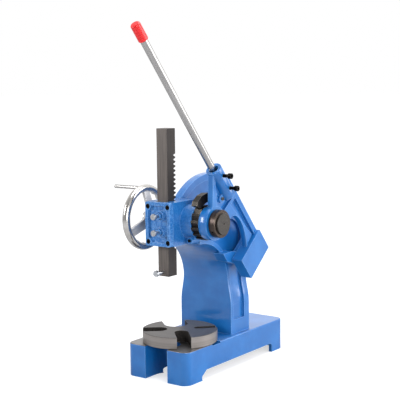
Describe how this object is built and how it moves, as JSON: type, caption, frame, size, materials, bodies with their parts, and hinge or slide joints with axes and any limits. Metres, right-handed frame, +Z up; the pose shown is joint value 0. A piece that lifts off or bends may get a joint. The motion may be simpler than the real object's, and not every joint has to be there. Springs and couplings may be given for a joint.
{
  "type": "arbor press",
  "caption": "Ratchet-lever arbor press: rack ram driven by a pinion shaft, counterweighted lever with pawl, handwheel, and slotted turning anvil plate on a cast base.",
  "frame": {"origin": "on the surface the press stands on, under the axis of the ram", "axes": "+X to the ratchet and lever side seen from the front, -Y to the front, +Z up along the ram"},
  "size_m": [0.4155, 0.734, 0.9972],
  "materials": {
    "painted_casting": "hammered blue enamel on cast iron",
    "machined_iron": "machined cast iron with faint tool marks",
    "blackened_steel": "blackened steel, lightly oiled",
    "chrome": "polished chrome plate",
    "zinc_steel": "bright zinc plate",
    "black_oxide": "black oxide on screws",
    "bright_steel": "ground bright steel bar",
    "bronze": "bearing bronze",
    "red_plastic": "soft gloss red plastic"
  },
  "bodies": {
    "frame": {"base_casting": "painted_casting", "column_casting": "painted_casting", "column_bolts": "zinc_steel", "column_dowels": "bright_steel", "front_cover": "painted_casting", "cover_screws": "black_oxide", "gib_strip": "machined_iron", "gib_adjusting_bolts": "zinc_steel", "gib_lock_nuts": "zinc_steel", "pinion_bush_right": "bronze", "pinion_bush_left": "bronze", "bush_set_screw": "black_oxide", "anvil_pin": "bright_steel"},
    "pinion": {"pinion_shaft": "blackened_steel", "ratchet_wheel": "blackened_steel", "ratchet_key": "bright_steel", "shaft_collar": "blackened_steel", "collar_set_screw": "black_oxide", "handwheel": "chrome", "handwheel_key": "bright_steel", "handwheel_handle": "chrome", "handwheel_washer": "zinc_steel", "handwheel_bolt": "zinc_steel"},
    "ram_body": {"ram": "blackened_steel", "ram_nose_bolt": "zinc_steel"},
    "lever": {"lever_casting": "painted_casting", "lever_bush": "bronze", "lever_bar": "bright_steel", "lever_cap": "red_plastic", "lever_set_screws": "black_oxide", "pawl_pin": "bright_steel"},
    "pawl_body": {"pawl": "black_oxide"},
    "anvil": {"anvil_plate": "machined_iron"}
  },
  "joints": [
    {"name": "pinion_spin", "type": "hinge", "parent": "frame", "child": "pinion", "pos_m": [0, 0.051, 0.45], "axis": [1, 0, 0], "range_deg": [-79.5, 261]},
    {"name": "ram_slide", "type": "slide", "parent": "frame", "child": "ram_body", "axis": [0, 0, 1], "range_m": [-0.1645, 0.0505]},
    {"name": "lever_swing", "type": "hinge", "parent": "frame", "child": "lever", "pos_m": [0, 0.051, 0.45], "axis": [1, 0, 0], "range_deg": [0, 78]},
    {"name": "pawl_pivot", "type": "hinge", "parent": "lever", "child": "pawl_body", "pos_m": [0, 0.086, 0.516], "axis": [1, 0, 0], "range_deg": [-35, 0]},
    {"name": "anvil_turn", "type": "hinge", "parent": "frame", "child": "anvil", "pos_m": [0, 0.052, 0.096], "axis": [0, 0, 1], "continuous": true}
  ],
  "couplings": [
    {"joint": "ram_slide", "follows": "pinion_spin", "m_per_rad": -0.036}
  ]
}
